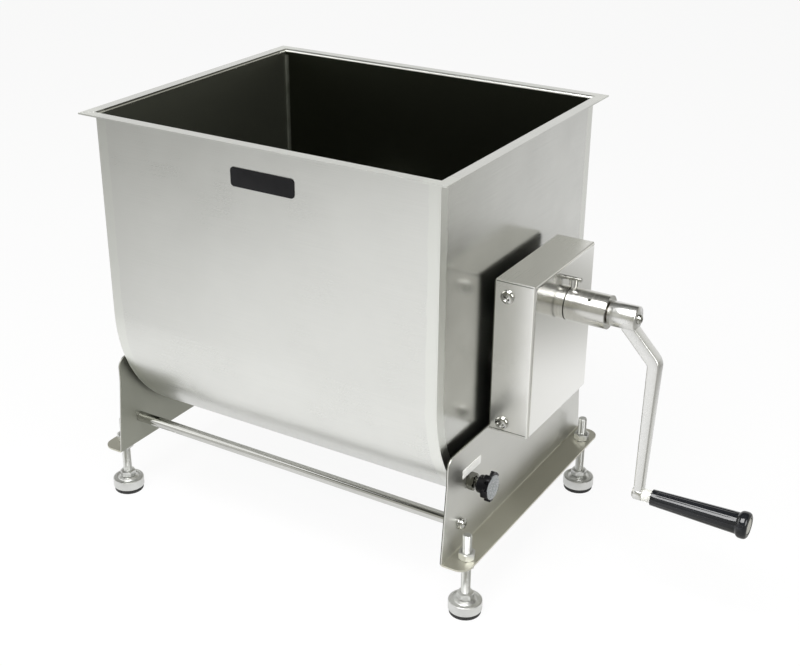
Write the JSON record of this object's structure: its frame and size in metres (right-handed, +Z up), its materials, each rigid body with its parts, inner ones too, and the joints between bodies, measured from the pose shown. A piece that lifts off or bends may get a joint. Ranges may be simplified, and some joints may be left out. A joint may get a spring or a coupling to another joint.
{
  "type": "manual meat mixer",
  "caption": "Hand-cranked meat mixer: tilting round-bottomed steel tank with paddles, between two side plates on levelling feet, geared crank at one end.",
  "frame": {"origin": "on the bench under the middle of the whole object, at the undersides of the feet", "axes": "+X along the paddle shaft towards the crank, +Y from the front to the back, +Z up"},
  "size_m": [0.7244, 0.359, 0.4725],
  "materials": {
    "tank_sheet": "fine brushed stainless sheet",
    "plate_sheet": "satin stainless sheet",
    "polished_steel": "turned and polished stainless",
    "zinc_plate": "bright zinc plate",
    "gear_steel": "machined, oiled",
    "bronze": "sintered bronze",
    "white_nylon": "matte",
    "black_gloss": "glossy phenolic",
    "grey_cap": "matte",
    "black_plate": "semi-gloss black",
    "white_label": "matte",
    "foot_rubber": "matte"
  },
  "bodies": {
    "frame": {"side_plate_left": "plate_sheet", "side_plate_right": "plate_sheet", "tie_rod": "polished_steel", "tie_rod_washers": "polished_steel", "tie_rod_screws": "polished_steel", "pivot_bush_left": "white_nylon", "pivot_bush_right": "white_nylon", "gearbox_frame": "gear_steel", "gearbox_cover": "plate_sheet", "cover_screws": "polished_steel", "drive_spigot": "polished_steel", "crank_housing": "polished_steel", "crank_bush_inner": "bronze", "crank_bush_outer": "bronze", "gear_bush": "bronze", "lock_nut": "zinc_plate", "lock_label": "white_label", "foot_weld_nuts": "zinc_plate", "foot_lock_nuts": "zinc_plate"},
    "tank": {"tank_shell": "tank_sheet", "tank_end_left": "tank_sheet", "tank_end_right": "tank_sheet", "tank_hub_left": "polished_steel", "tank_hub_right": "polished_steel", "shaft_bush_left": "bronze", "shaft_bush_right": "bronze", "shaft_seal": "white_nylon", "badge_plate": "black_plate"},
    "paddle": {"drive_shaft": "polished_steel", "driven_gear": "gear_steel", "gear_key": "gear_steel", "paddle_shaft": "polished_steel", "paddle_pin": "polished_steel", "paddle_arms": "polished_steel", "paddle_blades": "polished_steel"},
    "crank": {"crank_shaft": "polished_steel", "pinion": "gear_steel", "crank_arm": "polished_steel", "crank_screw": "polished_steel", "grip_spindle": "polished_steel", "grip_collar": "white_nylon"},
    "grip": {"grip": "black_gloss"},
    "thumb_screw": {"thumb_screw": "polished_steel"},
    "lock_tip": {"lock_tip": "white_nylon"},
    "lock_screw": {"lock_stud": "zinc_plate", "lock_knob": "black_gloss", "lock_knob_cap": "grey_cap"},
    "foot_fl_base": {"foot_fl_cup": "zinc_plate", "foot_fl_pad": "foot_rubber"},
    "foot_fl_stud": {"foot_fl_stud": "zinc_plate"},
    "foot_fr_base": {"foot_fr_cup": "zinc_plate", "foot_fr_pad": "foot_rubber"},
    "foot_fr_stud": {"foot_fr_stud": "zinc_plate"},
    "foot_bl_base": {"foot_bl_cup": "zinc_plate", "foot_bl_pad": "foot_rubber"},
    "foot_bl_stud": {"foot_bl_stud": "zinc_plate"},
    "foot_br_base": {"foot_br_cup": "zinc_plate", "foot_br_pad": "foot_rubber"},
    "foot_br_stud": {"foot_br_stud": "zinc_plate"}
  },
  "joints": [
    {"name": "tank_tilt", "type": "hinge", "parent": "frame", "child": "tank", "pos_m": [-0.11467, 0, 0.246], "axis": [1, 0, 0], "range_deg": [0, 75]},
    {"name": "paddle_spin", "type": "hinge", "parent": "frame", "child": "paddle", "pos_m": [-0.11467, 0, 0.246], "axis": [1, 0, 0], "continuous": true},
    {"name": "crank_turn", "type": "hinge", "parent": "frame", "child": "crank", "pos_m": [0.14272, 0, 0.305], "axis": [1, 0, 0], "continuous": true},
    {"name": "grip_spin", "type": "hinge", "parent": "crank", "child": "grip", "pos_m": [0.25733, -0.015, 0.1186], "axis": [1, 0, 0], "continuous": true},
    {"name": "thumb_turn", "type": "hinge", "parent": "frame", "child": "thumb_screw", "pos_m": [0.15132, 0, 0.33], "axis": [0, 0, 1], "range_deg": [0, 540]},
    {"name": "lock_feed", "type": "slide", "parent": "frame", "child": "lock_tip", "axis": [1, 0, 0], "range_m": [0, 0.006]},
    {"name": "lock_turn", "type": "hinge", "parent": "lock_tip", "child": "lock_screw", "pos_m": [0.10533, -0.113, 0.1385], "axis": [1, 0, 0], "range_deg": [-1, 1441]},
    {"name": "foot_fl_level", "type": "slide", "parent": "frame", "child": "foot_fl_base", "axis": [0, 0, 1], "range_m": [-0.015, 0.025]},
    {"name": "foot_fl_turn", "type": "hinge", "parent": "foot_fl_base", "child": "foot_fl_stud", "pos_m": [-0.34418, -0.143, 0.05], "axis": [0, 0, 1], "range_deg": [-3601, 6001]},
    {"name": "foot_fr_level", "type": "slide", "parent": "frame", "child": "foot_fr_base", "axis": [0, 0, 1], "range_m": [-0.015, 0.025]},
    {"name": "foot_fr_turn", "type": "hinge", "parent": "foot_fr_base", "child": "foot_fr_stud", "pos_m": [0.11482, -0.143, 0.05], "axis": [0, 0, 1], "range_deg": [-3601, 6001]},
    {"name": "foot_bl_level", "type": "slide", "parent": "frame", "child": "foot_bl_base", "axis": [0, 0, 1], "range_m": [-0.015, 0.025]},
    {"name": "foot_bl_turn", "type": "hinge", "parent": "foot_bl_base", "child": "foot_bl_stud", "pos_m": [-0.34418, 0.143, 0.05], "axis": [0, 0, 1], "range_deg": [-3601, 6001]},
    {"name": "foot_br_level", "type": "slide", "parent": "frame", "child": "foot_br_base", "axis": [0, 0, 1], "range_m": [-0.015, 0.025]},
    {"name": "foot_br_turn", "type": "hinge", "parent": "foot_br_base", "child": "foot_br_stud", "pos_m": [0.11482, 0.143, 0.05], "axis": [0, 0, 1], "range_deg": [-3601, 6001]}
  ],
  "couplings": [
    {"joint": "crank_turn", "follows": "paddle_spin", "ratio": -2.4706},
    {"joint": "lock_turn", "follows": "lock_feed", "rad_per_m": 4188.8},
    {"joint": "foot_fl_turn", "follows": "foot_fl_level", "rad_per_m": 4188.8},
    {"joint": "foot_fr_turn", "follows": "foot_fr_level", "rad_per_m": 4188.8},
    {"joint": "foot_bl_turn", "follows": "foot_bl_level", "rad_per_m": 4188.8},
    {"joint": "foot_br_turn", "follows": "foot_br_level", "rad_per_m": 4188.8}
  ]
}
